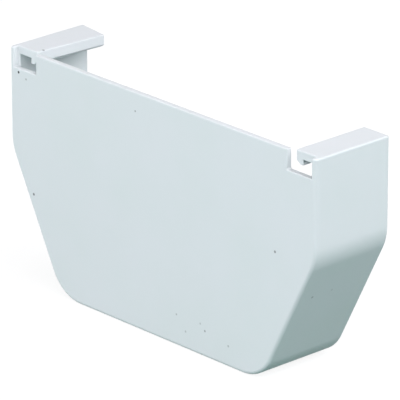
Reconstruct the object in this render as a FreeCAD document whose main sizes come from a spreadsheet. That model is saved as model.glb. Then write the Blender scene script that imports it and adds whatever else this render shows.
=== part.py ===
"""Gutter end cap: one moulded vinyl piece that closes the end of a trapezoid rain gutter.

A flat plate closes the gutter's end. A skirt stands behind the plate all round, except along the top,
and slips over the gutter. At the top of each side the skirt turns inwards as a strip and down again as
a lip, and this hook holds the gutter's rolled rim. A notch in each top corner of the plate shows the
hook's end.

The part is in millimetres. X runs across the gutter, Y runs from the plate towards the gutter, and Z is up.
The origin is in the middle of the underside.
"""
import FreeCAD
import Part
import os

import Sketcher

SIZES = (
    ("width", 133.0, "across the upright sides, outside"),
    ("height", 75.3, "from the underside to the top of the hooks"),
    ("depth", 29.3, "from the plate's front to the open end"),
    ("shoulder_height", 43.6, "from the underside to where a slope meets its upright side"),
    ("bottom_width", 88.4, "across the underside, between the sharp corners before rounding"),
    ("wall", 2.4, "skirt thickness"),
    ("plate", 2.0, "plate thickness"),
    ("bottom_radius", 13.5, "outside round between the underside and a slope"),
    ("shoulder_radius", 16.5, "outside round between a slope and an upright side"),
    ("top_radius", 0.6, "outside round along the top of an upright side"),
    ("front_radius", 1.2, "round between the plate's front and the skirt"),
    ("hook_width", 10.2, "from an upright side's outside to the lip's inner face"),
    ("strip", 2.65, "thickness of the hook's top strip"),
    ("lip", 2.9, "thickness of the hook's lip"),
    ("lip_drop", 4.4, "from the top to the lip's lower edge"),
    ("bevel_width", 1.6, "lead-in bevel under the lip, across"),
    ("bevel_height", 1.1, "lead-in bevel under the lip, upwards"),
    ("notch_reach", 12.0, "from an upright side's outside to the plate's cut edge"),
    ("notch_drop", 6.3, "from the top to the notch's floor"),
    ("notch_side", 1.8, "wall left standing beside the notch"),
    ("hook_setback", 0.1, "from the plate's back to the hook's front end"),
    ("notch_radius", 0.6, "round in the notch's lower corner"),
    ("edge_round", 0.35, "fine round on the plate's, hooks' and open end's outer edges"),
)

ROUND_SHARE = 0.9  # most of a wall's thickness that a round on it may take
NEAR = 1e-4  # two places closer than this are one


def make_sheet(doc):
    sheet = doc.addObject("Spreadsheet::Sheet", "sizes")
    for row, (alias, value, meaning) in enumerate(SIZES, start=1):
        sheet.set(f"A{row}", meaning)
        sheet.set(f"B{row}", str(value))
        sheet.setAlias(f"B{row}", alias)
    doc.recompute()
    return sheet


def start_of(line):
    """A sketch line's first point, as a constraint names it."""
    return line, 1


def end_of(line):
    """A sketch line's last point, as a constraint names it."""
    return line, 2


def sketch_origin():
    return -1, 1


def new_sketch(body, name, ahead):
    """A sketch that faces the front, moved ahead of the middle of the depth by an expression."""
    sketch = body.newObject("Sketcher::SketchObject", name)
    plane = next(item for item in body.Origin.OriginFeatures if item.Role == "XZ_Plane")
    sketch.AttachmentSupport = [(plane, "")]
    sketch.MapMode = "FlatFace"
    sketch.setExpression("AttachmentOffset.Base.z", ahead)
    return sketch


def add_loop(sketch, corners):
    """Joins the corners with a closed loop of lines. Line i starts at corner i."""
    points = [FreeCAD.Vector(x, z, 0) for x, z in corners]
    ring = zip(points, points[1:] + points[:1])
    lines = [sketch.addGeometry(Part.LineSegment(start, end), False) for start, end in ring]
    for line, following in zip(lines, lines[1:] + lines[:1]):
        sketch.addConstraint(Sketcher.Constraint("Coincident", *end_of(line), *start_of(following)))
    return lines


def set_size(sketch, kind, start, end, expression):
    """Fixes the distance along X or Y between two sketch points to an expression of the sheet's sizes."""
    step = sketch.getPoint(*end) - sketch.getPoint(*start)
    distance = step.x if kind == "DistanceX" else step.y
    size = sketch.addConstraint(Sketcher.Constraint(kind, *start, *end, distance))
    sketch.setExpression(f"Constraints[{size}]", expression)


def keep_symmetric(sketch, pairs):
    """Makes the lines of each pair start at mirror images of each other."""
    vertical_axis = -2
    for one, other in pairs:
        sketch.addConstraint(
            Sketcher.Constraint("Symmetric", *start_of(one), *start_of(other), vertical_axis))


def keep_direction(sketch, kind, lines):
    for line in lines:
        sketch.addConstraint(Sketcher.Constraint(kind, line))


def both_sides(points):
    """The points, given for the right side from the bottom up, then their mirror images downwards."""
    return list(points) + [(-x, z) for x, z in reversed(points)]


def draw_outline(body, size):
    """The cap seen from the front, with sharp corners."""
    sketch = new_sketch(body, "outline", "0")
    underside = (size("bottom_width") / 2, 0)
    shoulder = (size("width") / 2, size("shoulder_height"))
    top = (size("width") / 2, size("height"))
    lines = add_loop(sketch, both_sides((underside, shoulder, top)))
    slope, side, _, other_side, _, floor = lines
    keep_symmetric(sketch, zip(lines[:3], reversed(lines[3:])))
    keep_direction(sketch, "Vertical", (side,))
    horizontal_axis = -1
    sketch.addConstraint(Sketcher.Constraint("PointOnObject", *start_of(slope), horizontal_axis))
    origin = sketch_origin()
    set_size(sketch, "DistanceX", start_of(floor), end_of(floor), "sizes.bottom_width")
    set_size(sketch, "DistanceX", start_of(other_side), end_of(side), "sizes.width")
    set_size(sketch, "DistanceY", origin, start_of(side), "sizes.shoulder_height")
    set_size(sketch, "DistanceY", origin, end_of(side), "sizes.height")
    return sketch


def draw_cavity(body, outline, size):
    """The space inside the skirt, the hooks left standing, and open at the top between the lips."""
    sketch = new_sketch(body, "cavity", "-sizes.depth / 2")
    half = size("width") / 2
    top = size("height")
    inner_side = half - size("wall")
    lip_face = half - size("hook_width")
    lip_foot = top - size("lip_drop")
    corners = (
        (size("bottom_width") / 2 - size("wall"), size("wall")),
        (inner_side, size("shoulder_height") + size("wall")),
        (inner_side, top - size("strip")),
        (lip_face + size("lip"), top - size("strip")),
        (lip_face + size("lip"), lip_foot),
        (lip_face + size("bevel_width"), lip_foot),
        (lip_face, lip_foot + size("bevel_height")),
        (lip_face, top + size("wall")),
    )
    lines = add_loop(sketch, both_sides(corners))
    slope, side, under_strip, lip_back, lip_base, bevel, lip_front, opening = lines[:len(corners)]
    keep_symmetric(sketch, zip(lines[:len(corners)], reversed(lines[len(corners):])))
    keep_direction(sketch, "Vertical", (side, lip_back, lip_front))
    keep_direction(sketch, "Horizontal", (under_strip, lip_base))

    sketch.addExternal(outline.Name, "Edge1")
    outer_slope = -3
    sketch.addConstraint(Sketcher.Constraint("Parallel", slope, outer_slope))
    skin = sketch.addConstraint(
        Sketcher.Constraint("Distance", *start_of(slope), outer_slope, size("wall")))
    sketch.setExpression(f"Constraints[{skin}]", "sizes.wall")

    origin = sketch_origin()
    set_size(sketch, "DistanceY", origin, start_of(slope), "sizes.wall")
    set_size(sketch, "DistanceX", origin, start_of(side), "sizes.width / 2 - sizes.wall")
    set_size(sketch, "DistanceY", origin, start_of(under_strip), "sizes.height - sizes.strip")
    set_size(sketch, "DistanceX", origin, start_of(lip_front), "sizes.width / 2 - sizes.hook_width")
    set_size(sketch, "DistanceX", start_of(lip_front), start_of(lip_back), "sizes.lip")
    set_size(sketch, "DistanceY", origin, start_of(lip_base), "sizes.height - sizes.lip_drop")
    set_size(sketch, "DistanceX", start_of(lip_front), start_of(bevel), "sizes.bevel_width")
    set_size(sketch, "DistanceY", start_of(bevel), start_of(lip_front), "sizes.bevel_height")
    set_size(sketch, "DistanceY", origin, start_of(opening), "sizes.height + sizes.wall")
    return sketch


def draw_notches(body, size):
    """A rectangle in each top corner of the plate, beside the upright side and open at the top."""
    sketch = new_sketch(body, "notches", "sizes.depth / 2")
    near = size("width") / 2 - size("notch_reach")
    far = size("width") / 2 - size("notch_side")
    floor = size("height") - size("notch_drop")
    above = size("height") + size("wall")
    right = ((near, floor), (far, floor), (far, above), (near, above))
    left = [(-x, z) for x, z in right]
    right_lines = add_loop(sketch, right)
    left_lines = add_loop(sketch, left)
    keep_symmetric(sketch, zip(right_lines, left_lines))
    floor_line, far_line, above_line, near_line = right_lines
    keep_direction(sketch, "Horizontal", (floor_line, above_line))
    keep_direction(sketch, "Vertical", (far_line, near_line))
    origin = sketch_origin()
    set_size(sketch, "DistanceX", origin, start_of(floor_line), "sizes.width / 2 - sizes.notch_reach")
    set_size(sketch, "DistanceX", origin, end_of(floor_line), "sizes.width / 2 - sizes.notch_side")
    set_size(sketch, "DistanceY", origin, start_of(floor_line), "sizes.height - sizes.notch_drop")
    set_size(sketch, "DistanceY", origin, start_of(above_line), "sizes.height + sizes.wall")
    return sketch


def cut(body, name, sketch, expression, reverse):
    """Pockets the sketch to a depth, and makes sure that the pocket took something away."""
    before = body.Shape.Volume
    pocket = body.newObject("PartDesign::Pocket", name)
    pocket.Profile = sketch
    pocket.Reversed = reverse
    pocket.setExpression("Length", expression)
    body.Document.recompute()
    if body.Shape.Volume > before - NEAR:
        raise RuntimeError(f"{name} cut nothing")
    return pocket


def runs_along_depth(edge, x, z):
    """Whether a straight edge runs along Y at this X, on either side, and this Z."""
    first, last = edge.Vertexes[0].Point, edge.Vertexes[-1].Point
    if abs(first.y - last.y) < NEAR:
        return False
    return all(abs(abs(p.x) - x) < NEAR and abs(p.z - z) < NEAR for p in (first, last))


def runs_across(edge, y, z, inner, outer):
    """Whether an edge runs along X at this Y and Z, between these distances from the middle."""
    first, last = edge.Vertexes[0].Point, edge.Vertexes[-1].Point
    if abs(first.x - last.x) < NEAR:
        return False
    if any(abs(p.y - y) > NEAR or abs(p.z - z) > NEAR for p in (first, last)):
        return False
    return all(inner - NEAR < abs(p.x) < outer + NEAR for p in (first, last))


def runs_up(edge, x, y, low, high):
    """Whether an edge runs along Z at this X, on either side, and this Y, between these heights."""
    first, last = edge.Vertexes[0].Point, edge.Vertexes[-1].Point
    if abs(first.z - last.z) < NEAR:
        return False
    if any(abs(abs(p.x) - x) > NEAR or abs(p.y - y) > NEAR for p in (first, last)):
        return False
    return all(low - NEAR < p.z < high + NEAR for p in (first, last))


def round_edges(body, name, expression, wanted):
    """Fillets every edge that the wanted function picks, and the edges that follow those smoothly."""
    base = body.Tip
    names = [f"Edge{i}" for i, edge in enumerate(base.Shape.Edges, start=1) if wanted(edge)]
    if not names:
        raise RuntimeError(f"{name} found no edge")
    fillet = body.newObject("PartDesign::Fillet", name)
    fillet.Base = (base, names)
    fillet.setExpression("Radius", expression)
    body.Document.recompute()
    return fillet


def no_thicker_than(radius, wall):
    return f"min(sizes.{radius}; {ROUND_SHARE} * sizes.{wall})"


def pad_block(body, outline):
    block = body.newObject("PartDesign::Pad", "block")
    block.Profile = outline
    block.Midplane = True
    block.setExpression("Length", "sizes.depth")
    body.Document.recompute()


def hollow_out(body, outline, size):
    """Takes the space inside the skirt out of the block, and rounds its lower corners."""
    cavity = draw_cavity(body, outline, size)
    cut(body, "hollow", cavity, "sizes.depth - sizes.plate", True)
    slope = cavity.Geometry[0]
    bottom = slope.StartPoint
    shoulder = slope.EndPoint
    round_edges(body, "inner_bottom_rounds", "sizes.bottom_radius - sizes.wall",
                lambda edge: runs_along_depth(edge, bottom.x, bottom.y))
    round_edges(body, "inner_shoulder_rounds", "sizes.shoulder_radius - sizes.wall",
                lambda edge: runs_along_depth(edge, shoulder.x, shoulder.y))


def round_outside(body, size):
    """Rounds the block's corners. The cavity is rounded first, so no sharp corner of it breaks through."""
    side = size("width") / 2
    round_edges(body, "bottom_rounds", "sizes.bottom_radius",
                lambda edge: runs_along_depth(edge, size("bottom_width") / 2, 0))
    round_edges(body, "shoulder_rounds", "sizes.shoulder_radius",
                lambda edge: runs_along_depth(edge, side, size("shoulder_height")))


def cut_notches(body, size):
    plate_end = size("width") / 2 - size("notch_reach")
    notch_floor = size("height") - size("notch_drop")
    notches = draw_notches(body, size)
    cut(body, "notch_cuts", notches, "sizes.plate + sizes.hook_setback", False)
    round_edges(body, "notch_rounds", "sizes.notch_radius",
                lambda edge: runs_along_depth(edge, plate_end, notch_floor))


def soften_edges(body, size):
    """Rounds the plate's front edge and the top of the sides, and finely what a hand or a gutter meets."""
    side = size("width") / 2
    top = size("height")
    front = -size("depth") / 2
    mouth = size("depth") / 2
    plate_back = front + size("plate")
    hook_front = plate_back + size("hook_setback")
    lip_face = side - size("hook_width")
    plate_end = side - size("notch_reach")
    notch_floor = top - size("notch_drop")

    def is_fine_edge(edge):
        return (
            runs_across(edge, front, top, 0, plate_end)
            or runs_across(edge, plate_back, top, 0, plate_end)
            or runs_across(edge, hook_front, top, lip_face, side)
            or runs_across(edge, mouth, 0, 0, side)
            or runs_along_depth(edge, lip_face, top)
            or runs_up(edge, plate_end, front, notch_floor, top)
        )

    round_edges(body, "front_round", no_thicker_than("front_radius", "notch_side"),
                lambda edge: runs_across(edge, front, 0, 0, side))
    round_edges(body, "top_rounds", no_thicker_than("top_radius", "notch_side"),
                lambda edge: runs_along_depth(edge, side, top))
    round_edges(body, "fine_rounds", no_thicker_than("edge_round", "plate"), is_fine_edge)


def build_cap(doc, size):
    body = doc.addObject("PartDesign::Body", "end_cap")
    body.Label = "end_cap"
    outline = draw_outline(body, size)
    pad_block(body, outline)
    hollow_out(body, outline, size)
    round_outside(body, size)
    cut_notches(body, size)
    soften_edges(body, size)
    return body


def check(doc, body):
    faulty = [item.Name for item in doc.Objects if "Invalid" in item.State or "Error" in item.State]
    if faulty:
        raise RuntimeError(f"these failed: {faulty}")
    if body.Shape.isNull() or not body.Shape.isValid():
        raise RuntimeError("the end cap's shape is not valid")
    if len(body.Shape.Solids) != 1:
        raise RuntimeError("the end cap is not one solid")


def main():
    doc = FreeCAD.newDocument("gutter_end_cap")
    sheet = make_sheet(doc)
    body = build_cap(doc, lambda alias: float(sheet.get(alias)))
    doc.recompute()
    check(doc, body)
    os.makedirs("parts", exist_ok=True)
    body.Shape.exportStep(f"parts/{body.Label}.step")
    box = body.Shape.optimalBoundingBox(True, False)
    print(f"{body.Label}: {box.XLength:.2f} x {box.YLength:.2f} x {box.ZLength:.2f} mm, "
          f"{body.Shape.Volume / 1000:.2f} cm3")


main()
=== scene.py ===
# %% [markdown]
# # A gutter end cap in white vinyl
#
# An end cap closes the open end of a rain gutter. This one is a single vinyl moulding: a flat plate with
# rounded corners, a skirt behind it that slips over the gutter, and a hook along the top of each side that
# holds the gutter's rim.
#
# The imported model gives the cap's size and place. It could be shown as it is. This lesson makes the cap once
# more with Geometry Nodes instead, so that its edges take fine rounds and one hook can sag a little, as it
# does on the real cap. Then come the floor, the light and the camera.

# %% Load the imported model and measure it
import math

import bpy
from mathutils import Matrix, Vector


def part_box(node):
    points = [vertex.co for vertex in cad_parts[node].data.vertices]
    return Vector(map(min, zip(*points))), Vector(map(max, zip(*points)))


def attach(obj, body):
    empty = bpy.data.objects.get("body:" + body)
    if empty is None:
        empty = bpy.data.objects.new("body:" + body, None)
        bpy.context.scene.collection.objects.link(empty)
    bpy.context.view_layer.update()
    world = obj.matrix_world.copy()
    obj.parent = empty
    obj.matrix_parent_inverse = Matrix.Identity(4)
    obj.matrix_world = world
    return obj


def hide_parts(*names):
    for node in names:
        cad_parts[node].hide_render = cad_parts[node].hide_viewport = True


MM = 0.001

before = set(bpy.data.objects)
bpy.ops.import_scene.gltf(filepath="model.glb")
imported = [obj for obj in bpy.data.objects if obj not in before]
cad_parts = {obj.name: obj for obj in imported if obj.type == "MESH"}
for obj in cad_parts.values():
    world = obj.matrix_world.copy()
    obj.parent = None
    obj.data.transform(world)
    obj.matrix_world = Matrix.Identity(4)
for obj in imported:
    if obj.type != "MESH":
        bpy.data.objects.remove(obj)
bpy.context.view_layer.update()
lowest, highest = (Vector(corner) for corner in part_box("end_cap"))
extent = highest - lowest
print("the cap measures", [round(side / MM, 2) for side in extent], "mm")

# %% [markdown]
# ## A small language for nodes
#
# A tree made by a script soon fills with lines that add a node and join its sockets. Two small classes keep
# it short. A Graph adds a node of any kind in one call. A Socket is a node's output, and arithmetic on it
# adds Math nodes, so a formula in a tree reads as a formula.


# %% Graph and Socket
def find(sockets, key):
    """The socket at a place in the list, or the one in use that has this name."""
    if isinstance(key, int):
        return sockets[key]
    return next(socket for socket in sockets if socket.name == key and socket.enabled)


class Graph:
    """A node tree, with one method that adds a node of any kind to it."""

    def __init__(self, tree):
        self.tree = tree

    def node(self, kind, settings=None, inputs=None, output=0):
        """Adds a node and returns one of its outputs. A list of values links them all to one socket."""
        made = self.tree.nodes.new(kind)
        for name, value in (settings or {}).items():
            if name == "cases":
                # An Index Switch starts with two items and gets as many as its cases need.
                for _ in range(value - len(made.index_switch_items)):
                    made.index_switch_items.new()
            else:
                setattr(made, name, value)
        for key, value in (inputs or {}).items():
            for item in value if isinstance(value, list) else [value]:
                self.fill(find(made.inputs, key), item)
        return Socket(self, find(made.outputs, output)) if made.outputs else None

    def fill(self, socket, value):
        """Links a socket to an output, or sets it to a plain value."""
        if isinstance(value, Socket):
            self.tree.links.new(value.out, socket)
        else:
            socket.default_value = value


class Socket:
    """A node's output. Arithmetic on it adds Math nodes to the same tree."""

    def __init__(self, graph, out):
        self.graph = graph
        self.out = out

    def sibling(self, name):
        """Another output of the same node."""
        return Socket(self.graph, find(self.out.node.outputs, name))

    def math(self, operation, *values):
        """Adds a Math node with these values."""
        return self.graph.node("ShaderNodeMath", {"operation": operation}, dict(enumerate(values)))

    def __add__(self, other):
        return self.math("ADD", self, other)

    def __radd__(self, other):
        return self.math("ADD", other, self)

    def __sub__(self, other):
        return self.math("SUBTRACT", self, other)

    def __rsub__(self, other):
        return self.math("SUBTRACT", other, self)

    def __mul__(self, other):
        return self.math("MULTIPLY", self, other)

    def __rmul__(self, other):
        return self.math("MULTIPLY", other, self)

    def __truediv__(self, other):
        return self.math("DIVIDE", self, other)

    def __gt__(self, other):
        return self.math("GREATER_THAN", self, other)

    def __lt__(self, other):
        return self.math("LESS_THAN", self, other)


def smaller(one, other):
    """The smaller of an output and a value."""
    return one.math("MINIMUM", one, other)


def larger(one, other):
    """The larger of an output and a value."""
    return one.math("MAXIMUM", one, other)


print("node helpers:", Graph.__name__, "and", Socket.__name__)

# %% [markdown]
# ## White vinyl
#
# Rigid vinyl is coloured all through. The white of this cap is faintly cool and its face is satin, just as
# it left the mould: no paint and no print. A flat colour would look like paper, so three small things vary
# over the surface: the white is a little cloudy, the gloss changes from place to place, and the face has the
# soft grain and the faint waves of the mould.
#
# All of it is worked out from Object coordinates, which stay with the cap from every side.


# %% A new material, and patches that are fixed to the cap
def new_material(name):
    """An empty material and its graph."""
    material = bpy.data.materials.new(name)
    material.use_nodes = True
    material.node_tree.nodes.clear()
    return material, Graph(material.node_tree)


def on_the_cap(graph):
    """Where a point of the surface is, in the cap's own frame."""
    return graph.node("ShaderNodeTexCoord", output="Object")


def patches(graph, size, detail=2.0):
    """Soft random patches of about this size, from 0 to 1."""
    return graph.node("ShaderNodeTexNoise", None, {
        "Vector": on_the_cap(graph), "Scale": 1 / size, "Detail": detail})


def blend(graph, factor, one, other):
    """A colour between two colours."""
    return graph.node("ShaderNodeMix", {"data_type": "RGBA"}, {
        "Factor": factor, "A": one, "B": other}, "Result")


vinyl, vinyl_graph = new_material("white_vinyl_finish")
print("empty material:", vinyl.name)

# %% [markdown]
# ## Specks
#
# A few dark specks are moulded into the white, most of them on the plate. They could be scattered at random,
# but there are so few that each one is listed with its own place. A speck is a small ball of dark colour
# around a point, and it shows where the surface cuts through it.

# %% The specks and how they darken the white
SPECK_COLOUR = (0.03, 0.03, 0.03, 1.0)
SPECK_CORE = 0.6
FRONT = lowest.y / MM
TOP = highest.z / MM

# Each speck has its place and its radius, all in millimetres, and how dark it is.
SPECKS = {
    "beside the left notch": (-62.5, FRONT, 67.8, 0.50, 1.00),
    "under the left notch": (-59.1, FRONT, 66.4, 0.42, 0.40),
    "on the left strip": (-56.7, -9.7, TOP, 0.55, 0.60),
    "at the left edge": (-56.2, FRONT, 30.1, 0.52, 0.70),
    "at the top of the plate": (-10.0, FRONT, 69.45, 0.38, 0.48),
    "near the right shoulder": (49.9, FRONT, 42.4, 0.50, 0.62),
    "low in the middle": (7.8, FRONT, 10.1, 0.40, 0.34),
    "near the bottom edge": (11.8, FRONT, 5.8, 0.42, 0.30),
    "right of the middle": (20.2, FRONT, 8.5, 0.45, 0.46),
    "just above that one": (18.2, FRONT, 10.3, 0.42, 0.26),
    "near the right bottom round": (30.3, FRONT, 6.8, 0.45, 0.35),
    "on the front of the slope": (59.2, -8.5, 29.3, 0.50, 0.40),
    "on the middle of the slope": (59.3, -0.7, 29.5, 0.45, 0.20),
}


def speck_mask(graph):
    """How dark the specks make each point of the surface, from 0 to 1."""
    darkest = None
    for x, y, z, radius, darkness in SPECKS.values():
        centre = (x * MM, y * MM, z * MM)
        away = graph.node("ShaderNodeVectorMath", {"operation": "DISTANCE"}, {
            0: on_the_cap(graph), 1: centre}, "Value")
        spot = graph.node("ShaderNodeMapRange", None, {
            "Value": away, "From Min": SPECK_CORE * radius * MM, "From Max": radius * MM,
            "To Min": darkness, "To Max": 0.0})
        darkest = spot if darkest is None else larger(darkest, spot)
    return darkest


print(len(SPECKS), "specks")

# %% [markdown]
# ## The finish
#
# A moulded face shines softly and mirrors nothing sharply. A glossy shader would show the lamps as spots,
# and a matte one would look like chalk. A Principled shader with a fair roughness and a small mirror share
# lies between the two. The grain and the waves are far too fine for the mesh, so a Bump node takes their
# height.

# %% The finished vinyl
VINYL_WHITE = (0.752, 0.766, 0.793, 1.0)
CLOUDED_WHITE = (0.698, 0.746, 0.742, 1.0)
CLOUD_SIZE = 22 * MM
CLOUD_DETAIL = 3.0
GLOSS_PATCH = 9 * MM
ROUGHNESS = 0.42
ROUGHNESS_CHANGE = 0.10
MIRROR_SHARE = 0.10
GRAIN_SIZE = 0.9 * MM
GRAIN_HEIGHT = 0.004 * MM
WAVE_SIZE = 24 * MM
WAVE_HEIGHT = 0.05 * MM
WAVE_DETAIL = 0.0


def finish_vinyl(graph):
    """Joins the colour, the gloss and the grain in one shader."""
    cloudy = blend(graph, patches(graph, CLOUD_SIZE, CLOUD_DETAIL), VINYL_WHITE, CLOUDED_WHITE)
    colour = blend(graph, speck_mask(graph), cloudy, SPECK_COLOUR)
    roughness = patches(graph, GLOSS_PATCH) * ROUGHNESS_CHANGE + (ROUGHNESS - ROUGHNESS_CHANGE / 2)
    grain = patches(graph, GRAIN_SIZE) * GRAIN_HEIGHT
    waves = patches(graph, WAVE_SIZE, WAVE_DETAIL) * WAVE_HEIGHT
    bump = graph.node("ShaderNodeBump", None, {"Height": grain + waves, "Distance": 1.0})
    shader = graph.node("ShaderNodeBsdfPrincipled", None, {
        "Base Color": colour, "Roughness": roughness, "Specular IOR Level": MIRROR_SHARE, "Normal": bump})
    graph.node("ShaderNodeOutputMaterial", None, {"Surface": shader})


finish_vinyl(vinyl_graph)
print("vinyl nodes:", len(vinyl.node_tree.nodes))

# %% [markdown]
# ## The cap's sizes
#
# The cap follows one rule: a trapezoid outline is carried back from the plate, a smaller outline is hollowed
# out of it, and two notches are cut through the top corners of the plate. A mesh could be drawn point by
# point, but a rule is what Geometry Nodes are for. The tree has a named input for each size, so the cap can
# be changed without touching the tree. Width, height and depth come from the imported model.

# %% Sizes, in metres
SIZES = {
    "width": extent.x,
    "height": extent.z,
    "depth": extent.y,
    "shoulder height": 43.6 * MM,
    "bottom width": 88.4 * MM,
    "wall": 2.4 * MM,
    "plate": 2.0 * MM,
    "bottom radius": 13.5 * MM,
    "shoulder radius": 16.5 * MM,
    "top radius": 0.6 * MM,
    "front radius": 1.2 * MM,
    "hook width": 10.2 * MM,
    "strip": 2.65 * MM,
    "lip": 2.9 * MM,
    "lip drop": 4.4 * MM,
    "bevel width": 1.6 * MM,
    "bevel height": 1.1 * MM,
    "notch reach": 12.0 * MM,
    "notch drop": 6.3 * MM,
    "notch side": 1.8 * MM,
    "notch radius": 0.6 * MM,
    "hook setback": 0.1 * MM,
    "edge round": 0.35 * MM,
    "sag": 0.85 * MM,
}

tree = bpy.data.node_groups.new("gutter_end_cap", "GeometryNodeTree")
tree.interface.new_socket("Cap", in_out="OUTPUT", socket_type="NodeSocketGeometry")
for label in SIZES:
    tree.interface.new_socket(label, in_out="INPUT", socket_type="NodeSocketFloat")
cap_graph = Graph(tree)
given = cap_graph.node("NodeGroupInput")
size = {label: given.sibling(label) for label in SIZES}
half = size["width"] / 2
top = size["height"]
print("named sizes:", len(SIZES))

# %% [markdown]
# ## Outlines
#
# Each of the three shapes starts as a closed curve: a circle with as many points as the shape has corners,
# whose points are moved to the corners and then rounded by Fillet Curve. On a mirrored outline the corners
# are written for the right side only. They run upwards there, and the same corners run down on the left.

# %% An outline from its corners
CORNER_STEPS = 12
# Whole numbers are compared half a step away, so that rounding can't tip the result.
HALF_STEP = 0.5


def outline(graph, corners, radii, mirrored=True):
    """A closed curve through the corners, with a round of its own radius at each."""
    number = len(corners)
    total = 2 * number if mirrored else number
    circle = graph.node("GeometryNodeCurvePrimitiveCircle", None, {"Resolution": total})
    index = graph.node("GeometryNodeInputIndex")
    corner = smaller(index, total - 1 - index) if mirrored else index
    side = 1 - 2 * (index > number - HALF_STEP) if mirrored else 1.0

    def pick(values):
        """The value that belongs to each point's corner."""
        cases = {case + 1: value for case, value in enumerate(values)}
        return graph.node("GeometryNodeIndexSwitch", {"data_type": "FLOAT", "cases": number},
                          {0: corner, **cases})

    across = pick([x for x, _ in corners]) * side
    up = pick([z for _, z in corners])
    place = graph.node("ShaderNodeCombineXYZ", None, {"X": across, "Y": up})
    sharp = graph.node("GeometryNodeSetPosition", None, {"Geometry": circle, "Position": place})
    return graph.node("GeometryNodeFilletCurve", {"mode": "POLY"},
                      {"Curve": sharp, "Count": CORNER_STEPS, "Radius": pick(radii)})


print("each corner's round has", CORNER_STEPS, "steps")

# %% [markdown]
# ## From an outline to rings
#
# The cap's front edge is rounded along the sides and the bottom. Curve to Mesh could sweep an outline
# straight back, but it couldn't roll over that edge. So the outline is copied into rings. The first rings
# follow a quarter of a circle, each a little further back and a little less drawn in, and the others run
# straight back.

# %% Rings behind an outline
ROUND_STEPS = 6
STRAIGHT_STEPS = 10


def copy_rings(graph, curve, amount):
    """Copies of a curve in one place, with the number of each copy."""
    copies = graph.node("GeometryNodeDuplicateElements", {"domain": "SPLINE"}, {
        "Geometry": curve, "Amount": amount})
    return copies, copies.sibling("Duplicate Index")


def straight_rings(graph, curve, start, end, steps):
    """Copies of a curve between two depths. The depth runs down the curve's own z axis."""
    copies, number = copy_rings(graph, curve, steps + 1)
    depth = start + (end - start) * (number / steps)
    offset = graph.node("ShaderNodeCombineXYZ", None, {"Z": 0 - depth})
    return graph.node("GeometryNodeSetPosition", None, {"Geometry": copies, "Offset": offset}), number


def rolled_rings(graph, curve, end, radius):
    """Copies of a curve that roll over an edge of this radius and then run straight back."""
    copies, number = copy_rings(graph, curve, ROUND_STEPS + STRAIGHT_STEPS + 1)
    turn = smaller(number / ROUND_STEPS, 1.0) * (math.pi / 2)
    straight = larger(number - ROUND_STEPS, 0.0) / STRAIGHT_STEPS
    depth = radius - radius * turn.math("COSINE", turn) + (end - radius) * straight
    drawn_in = radius - radius * turn.math("SINE", turn)
    along = graph.node("ShaderNodeSeparateXYZ", None, {"Vector": graph.node("GeometryNodeInputTangent")})
    offset = graph.node("ShaderNodeCombineXYZ", None, {
        "X": (0 - along.sibling("Y")) * drawn_in, "Y": along * drawn_in, "Z": 0 - depth})
    return graph.node("GeometryNodeSetPosition", None, {"Geometry": copies, "Offset": offset}), number


print("the front edge rolls over in", ROUND_STEPS, "steps")

# %% [markdown]
# ## From rings to a solid
#
# Cutting one shape out of another needs closed solids. The wall could be made face by face, but a grid has
# its faces already: each of its points only moves to a point of a ring. A face over the first ring and one
# over the last close the ends, and welding joins them to the wall.

# %% A closed solid from rings
WELD = 0.01 * MM


def side_wall(graph, curve, rings, amount):
    """A grid with a row of points for each ring, closed round the ring."""
    points = graph.node("GeometryNodeAttributeDomainSize", {"component": "CURVE"}, {"Geometry": curve})
    grid = graph.node("GeometryNodeMeshGrid", None, {"Vertices X": amount, "Vertices Y": points + 1})
    index = graph.node("GeometryNodeInputIndex")
    row = index.math("FLOOR", (index + HALF_STEP) / (points + 1))
    column = index - row * (points + 1)
    source = row * points + column * (column < points - HALF_STEP)
    place = graph.node("GeometryNodeSampleIndex", {"data_type": "FLOAT_VECTOR", "domain": "POINT"}, {
        "Geometry": rings, "Value": graph.node("GeometryNodeInputPosition"), "Index": source})
    return graph.node("GeometryNodeSetPosition", None, {"Geometry": grid, "Position": place})


def end_face(graph, rings, number, chosen, depth):
    """A face over one ring. Fill Curve makes it at depth 0, so it is moved back to its ring."""
    ring = graph.node("GeometryNodeSeparateGeometry", {"domain": "CURVE"}, {
        "Geometry": rings, "Selection": number.math("COMPARE", number, chosen, HALF_STEP)})
    face = graph.node("GeometryNodeFillCurve", {"mode": "NGONS"}, {"Curve": ring})
    back = graph.node("ShaderNodeCombineXYZ", None, {"Z": 0 - depth})
    return graph.node("GeometryNodeSetPosition", None, {"Geometry": face, "Offset": back})


def solid(graph, curve, rings, number, amount, start, end):
    """Welds the side wall and the two end faces together."""
    wall = side_wall(graph, curve, rings, amount)
    front = end_face(graph, rings, number, 0, start)
    back = end_face(graph, rings, number, amount - 1, end)
    turned = graph.node("GeometryNodeFlipFaces", None, {"Mesh": back})
    joined = graph.node("GeometryNodeJoinGeometry", None, {"Geometry": [wall, front, turned]})
    return graph.node("GeometryNodeMergeByDistance", None, {"Geometry": joined, "Distance": WELD})


def straight_solid(graph, curve, start, end, steps):
    """A solid that runs straight back from one depth to another."""
    rings, number = straight_rings(graph, curve, start, end, steps)
    return solid(graph, curve, rings, number, steps + 1, start, end)


def rolled_solid(graph, curve, end, radius):
    """A solid from depth 0 whose front edge is rounded."""
    rings, number = rolled_rings(graph, curve, end, radius)
    return solid(graph, curve, rings, number, ROUND_STEPS + STRAIGHT_STEPS + 1, 0.0, end)


print("points closer than", WELD / MM, "mm are welded")

# %% [markdown]
# ## The block
#
# The outside of the cap is a block with the cap's outline and depth, whose front edge rolls over. Only along
# the top is there no roll: the sides' rounds run straight up and end there. So the block is made too tall,
# by a spare piece that is cut off again later.

# %% The block
CLEAR = 2 * MM

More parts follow.
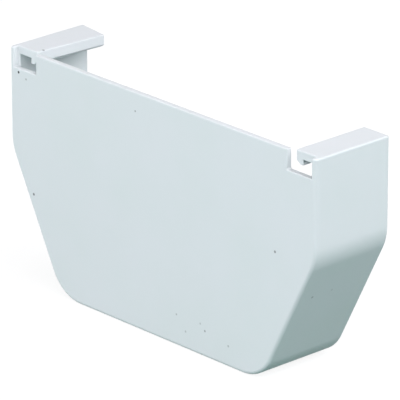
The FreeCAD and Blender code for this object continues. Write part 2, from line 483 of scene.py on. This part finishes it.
corners = [
    (size["bottom width"] / 2, 0.0),
    (half, size["shoulder height"]),
    (half, top + CLEAR),
    (half, top + 2 * CLEAR),
]
radii = [size["bottom radius"], size["shoulder radius"], 0.0, 0.0]
block_outline = outline(cap_graph, corners, radii)
block = rolled_solid(cap_graph, block_outline, size["depth"], size["front radius"])
print("block outline:", 2 * len(corners), "corners")

# %% [markdown]
# ## The hollow
#
# The gutter's end goes into the hollow. Its outline keeps one wall's thickness inside the block's, also
# across the slopes, so the two corners of a slope are worked out from the wall and the slope's steepness. At
# the top of each side the hollow leaves the hook standing: a strip that turns inwards and a lip that turns
# down, with a bevel under the lip that lets the gutter's rim snap in.

# %% The hollow
rise = size["shoulder height"]
run = half - size["bottom width"] / 2
slope_length = rise.math("SQRT", rise * rise + run * run)
wall_across_slope = size["wall"] * slope_length / rise
inner_bottom = size["bottom width"] / 2 + size["wall"] * run / rise - wall_across_slope
inner_side = half - size["wall"]
inner_shoulder = rise + (wall_across_slope - size["wall"]) * rise / run
lip_face = half - size["hook width"]
lip_back = lip_face + size["lip"]
lip_foot = top - size["lip drop"]
under_strip = top - size["strip"]
corners = [
    (inner_bottom, size["wall"]),
    (inner_side, inner_shoulder),
    (inner_side, under_strip),
    (lip_back, under_strip),
    (lip_back, lip_foot),
    (lip_face + size["bevel width"], lip_foot),
    (lip_face, lip_foot + size["bevel height"]),
    (lip_face, top + CLEAR),
]
radii = [size["bottom radius"] - size["wall"], size["shoulder radius"] - size["wall"]] + [0.0] * 6
hollow_outline = outline(cap_graph, corners, radii)
hollow = straight_solid(cap_graph, hollow_outline, size["plate"], size["depth"] + CLEAR, STRAIGHT_STEPS)
print("hollow outline:", 2 * len(corners), "corners")

# %% [markdown]
# ## The notches
#
# A notch cuts through each top corner of the plate and just into the hook behind it, so that the hook can
# spring. The right one is made first, and the left one is its mirror image, turned right side out again.

# %% The notches
notch_end = half - size["notch reach"]
notch_wall = half - size["notch side"]
notch_floor = top - size["notch drop"]
corners = [
    (notch_end, notch_floor),
    (notch_wall, notch_floor),
    (notch_wall, top + CLEAR),
    (notch_end, top + CLEAR),
]
radii = [size["notch radius"], 0.0, 0.0, 0.0]
notch_outline = outline(cap_graph, corners, radii, mirrored=False)
notch_depth = size["plate"] + size["hook setback"]
right_notch = straight_solid(cap_graph, notch_outline, -CLEAR, notch_depth, 1)
mirrored_notch = cap_graph.node("GeometryNodeTransform", None, {
    "Geometry": right_notch, "Scale": (-1, 1, 1)})
left_notch = cap_graph.node("GeometryNodeFlipFaces", None, {"Mesh": mirrored_notch})
print("notches: 2")

# %% [markdown]
# ## Cutting, and standing the cap up
#
# One Mesh Boolean takes the hollow, the notches and the spare piece at the top away from the block. So far
# the outline has lain flat and the depth has run downwards, so the cap is turned up on its underside, with
# its plate to the front.

# %% Cut and stand up
spare_height = 4 * CLEAR
spare_size = cap_graph.node("ShaderNodeCombineXYZ", None, {
    "X": 2 * size["width"], "Y": spare_height, "Z": 2 * size["depth"]})
spare_place = cap_graph.node("ShaderNodeCombineXYZ", None, {
    "Y": top + spare_height / 2, "Z": 0 - size["depth"] / 2})
spare_cube = cap_graph.node("GeometryNodeMeshCube", None, {"Size": spare_size})
spare = cap_graph.node("GeometryNodeTransform", None, {
    "Geometry": spare_cube, "Translation": spare_place})
moulding = cap_graph.node("GeometryNodeMeshBoolean", {"operation": "DIFFERENCE", "solver": "EXACT"}, {
    "Mesh 1": block, "Mesh 2": [hollow, right_notch, left_notch, spare]})
forward = cap_graph.node("ShaderNodeCombineXYZ", None, {"Y": 0 - size["depth"] / 2})
standing = cap_graph.node("GeometryNodeTransform", None, {
    "Geometry": moulding, "Rotation": (math.pi / 2, 0, 0), "Translation": forward})
print("cut, with", len(tree.nodes), "nodes so far")

# %% [markdown]
# ## Edges that catch the light
#
# No moulded edge is perfectly sharp. The tree marks the outer edges for the Bevel modifier, by the angle
# between their faces, and keeps the inner edges crisp. The edge along the top of each side is rounder than
# the others, so its mark is full and theirs is a share of it.

# %% Mark the edges
SHARP = math.radians(35)

position = cap_graph.node("GeometryNodeInputPosition")
point = cap_graph.node("ShaderNodeSeparateXYZ", None, {"Vector": position})
angle = cap_graph.node("GeometryNodeInputMeshEdgeAngle", output="Signed Angle")
beside_the_notch = point.math("ABSOLUTE", point) > notch_wall + WELD
along_the_top = beside_the_notch * (point.sibling("Z") > top - WELD)
share = size["edge round"] / size["top radius"]
mark = (angle > SHARP) * (share + (1 - share) * along_the_top)
marked = cap_graph.node("GeometryNodeStoreNamedAttribute", {"data_type": "FLOAT", "domain": "EDGE"}, {
    "Geometry": standing, "Name": "bevel_weight_edge", "Value": mark})
smooth = cap_graph.node("GeometryNodeSetShadeSmooth", {"domain": "FACE"}, {"Geometry": marked})
crisp = cap_graph.node("GeometryNodeSetShadeSmooth", {"domain": "EDGE"}, {
    "Geometry": smooth, "Selection": angle < -SHARP, "Shade Smooth": False})
print("edges sharper than", round(math.degrees(SHARP)), "degrees are rounded")

# %% [markdown]
# ## The left hook sags
#
# On the real cap the left hook has bent down slightly towards its inner back corner, as thin vinyl does when
# it cools. The sag grows from nothing at the wall and at the plate, so it is a product of two slopes. It
# comes after the marks, because the angle between two faces is measured best while both are flat.
#
# The tree ends with Realize Instances and Set Material.

# %% Sag of the left hook, and the end of the tree
hook_front = notch_depth - size["depth"] / 2
hook_length = size["depth"] / 2 - hook_front
inwards = cap_graph.node("ShaderNodeClamp", None, {
    "Value": (point + half - size["wall"]) / (size["hook width"] - size["wall"])})
backwards = cap_graph.node("ShaderNodeClamp", None, {
    "Value": (point.sibling("Y") - hook_front) / hook_length})
on_left_hook = (point.sibling("Z") > lip_foot - WELD) * (point < 0.0)
drop = size["sag"] * inwards * backwards * on_left_hook
downwards = cap_graph.node("ShaderNodeCombineXYZ", None, {"Z": 0 - drop})
sagged = cap_graph.node("GeometryNodeSetPosition", None, {"Geometry": crisp, "Offset": downwards})
real = cap_graph.node("GeometryNodeRealizeInstances", None, {"Geometry": sagged})
dressed = cap_graph.node("GeometryNodeSetMaterial", None, {"Geometry": real, "Material": vinyl})
cap_graph.node("NodeGroupOutput", None, {"Cap": dressed})
print("sag at the inner back corner:", round(SIZES["sag"] / MM, 2), "mm; nodes:", len(tree.nodes))

# %% [markdown]
# ## From the tree to a plain mesh
#
# The Bevel modifier rounds the marked edges, and Weighted Normal keeps the large faces flat beside them.
# Then the evaluated result becomes the cap's own mesh, and the modifiers go. The finished cap takes the
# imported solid's place.

# %% The finished cap
EDGE_STEPS = 3

cap = bpy.data.objects.new("vinyl_cap", bpy.data.meshes.new("vinyl_cap"))
bpy.context.scene.collection.objects.link(cap)
builder = cap.modifiers.new("build", "NODES")
builder.node_group = tree
for item in tree.interface.items_tree:
    if item.in_out == "INPUT":
        builder[item.identifier] = SIZES[item.name]
bevel = cap.modifiers.new("fine_edges", "BEVEL")
bevel.limit_method = "WEIGHT"
bevel.width = SIZES["top radius"]
bevel.segments = EDGE_STEPS
bevel.use_clamp_overlap = False
flat_faces = cap.modifiers.new("flat_faces", "WEIGHTED_NORMAL")
flat_faces.keep_sharp = True

built = cap.evaluated_get(bpy.context.evaluated_depsgraph_get())
finished_mesh = bpy.data.meshes.new_from_object(built)
cap.modifiers.clear()
cap.data = finished_mesh
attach(cap, "root")
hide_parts("end_cap")
print("finished cap:", len(finished_mesh.vertices), "points,", len(finished_mesh.polygons), "faces")

# %% [markdown]
# ## A pale floor
#
# The cap stands on white paper. Where it is seen, also in a reflection, the paper glows to full white and
# keeps the cap's soft shadow. The light that it throws back up is another matter: the cap's slope, which
# leans over the paper, is dim and a little green, so the paper sends up only a weak green light. The Light
# Path node tells the rays that show the paper from those that only carry its light.

# %% The floor
FLOOR_HALF = 1.2
PAPER_WHITE = (0.96, 0.96, 0.96, 1.0)
BOUNCE_COLOUR = (0.005, 0.14, 0.11, 1.0)
GLOW_SHARE = 0.82
GLOW_LEVEL = 1.07

floor_mesh = bpy.data.meshes.new("floor")
floor_corners = [(x * FLOOR_HALF, y * FLOOR_HALF, 0) for x, y in ((-1, -1), (1, -1), (1, 1), (-1, 1))]
floor_mesh.from_pydata(floor_corners, [], [(0, 1, 2, 3)])
floor = bpy.data.objects.new("floor", floor_mesh)
bpy.context.scene.collection.objects.link(floor)


def seen_at_all(graph):
    """1 for rays that show something, also mirrored or through something clear, and 0 for the others."""
    rays = graph.node("ShaderNodeLightPath", output="Is Camera Ray")
    directly = larger(rays, rays.sibling("Is Transmission Ray"))
    return larger(directly, rays.sibling("Is Glossy Ray"))


paper, paper_graph = new_material("white_paper")
matte = paper_graph.node("ShaderNodeBsdfDiffuse", None, {
    "Color": blend(paper_graph, seen_at_all(paper_graph), BOUNCE_COLOUR, PAPER_WHITE)})
glow = paper_graph.node("ShaderNodeEmission", None, {"Color": (1, 1, 1, 1), "Strength": GLOW_LEVEL})
glowing = paper_graph.node("ShaderNodeMixShader", None, {
    0: seen_at_all(paper_graph) * GLOW_SHARE, 1: matte, 2: glow})
paper_graph.node("ShaderNodeOutputMaterial", None, {"Surface": glowing})
floor_mesh.materials.append(paper)
print("floor side:", 2 * FLOOR_HALF, "m")

# %% [markdown]
# ## A white room that gives no light
#
# The world behind the floor is white for rays that show it and black for rays that only carry light. So the
# lamps alone decide where the cap is in shade.

# %% The room
world = bpy.data.worlds.new("studio")
bpy.context.scene.world = world
world.use_nodes = True
world.node_tree.nodes.clear()
room_graph = Graph(world.node_tree)
room = room_graph.node("ShaderNodeBackground", None, {
    "Color": (1, 1, 1, 1), "Strength": seen_at_all(room_graph)})
room_graph.node("ShaderNodeOutputWorld", None, {"Surface": room})
print("room:", world.name)

# %% [markdown]
# ## Softboxes all round
#
# The plate and the right wall are equally bright, and the round between them hardly shines. One strong lamp
# would light that round far more than the flats beside it. So seven large softboxes stand in a wide arc,
# from the left round the front to behind the right side: low on the left and in front, and higher on the
# right. The slope leans away from them and gets about half the light of the walls, and little of it reaches
# into the notches.

# %% Lamps
SOFTBOX_SIDE = 1.1
SOFTBOX_COLOUR = (0.96, 0.96, 1.0)
SOFTBOX_DISTANCE = 1.6
# The lamps and the camera face this point, which lies near the cap's middle.
AIM = Vector((-0.2 * MM, 2.3 * MM, 39.7 * MM))

# Each softbox has an azimuth to the right of straight ahead and an elevation, in degrees, and a level.
SOFTBOXES = {
    "left": (-88, 8, 0.46),
    "left_front": (-43, 8, 0.52),
    "front": (2, 8, 0.52),
    "beside_the_camera": (47, 34, 0.56),
    "right": (92, 34, 0.30),
    "high_right": (92, 60, 0.27),
    "behind_right": (137, 34, 0.52),
}


def direction(azimuth, elevation):
    """The way from the cap to something at this azimuth and elevation."""
    az, el = math.radians(azimuth), math.radians(elevation)
    return Vector((math.sin(az) * math.cos(el), -math.cos(az) * math.cos(el), math.sin(el)))


def set_up(thing, azimuth, elevation, distance):
    """Puts a lamp or a camera at a distance from the cap and turns it towards the cap."""
    way = direction(azimuth, elevation)
    thing.location = AIM + way * distance
    thing.rotation_euler = way.to_track_quat("Z", "Y").to_euler()
    bpy.context.scene.collection.objects.link(thing)


def softbox(name, azimuth, elevation, level):
    """A square lamp that, at level 1, shows the colour of what faces it about as it is written."""
    lamp = bpy.data.lights.new(name, "AREA")
    lamp.shape = "SQUARE"
    lamp.size = SOFTBOX_SIDE
    lamp.color = SOFTBOX_COLOUR
    lamp.energy = level * (math.pi * SOFTBOX_DISTANCE) ** 2
    set_up(bpy.data.objects.new(name, lamp), azimuth, elevation, SOFTBOX_DISTANCE)


for name, (azimuth, elevation, level) in SOFTBOXES.items():
    softbox(name, azimuth, elevation, level)
print("softboxes:", ", ".join(SOFTBOXES))

# %% [markdown]
# ## The camera
#
# The camera looks from the right and a little from above. Close by, with a short lens, it would stretch the
# near corner. So it stands far away with a long lens, and upright edges stay almost parallel. The Standard
# view transform shows each colour as it is written.

# %% Camera
CAMERA_AZIMUTH = 47.2
CAMERA_ELEVATION = 21.2
CAMERA_DISTANCE = 1.4832
CAMERA_LENS = 448.65
SENSOR = 36.0

camera = bpy.data.cameras.new("camera")
camera.lens = CAMERA_LENS
camera.sensor_width = SENSOR
camera_object = bpy.data.objects.new("camera", camera)
set_up(camera_object, CAMERA_AZIMUTH, CAMERA_ELEVATION, CAMERA_DISTANCE)
bpy.context.scene.camera = camera_object
bpy.context.scene.view_settings.view_transform = "Standard"
print("camera at", [round(value, 3) for value in camera_object.location], "m")
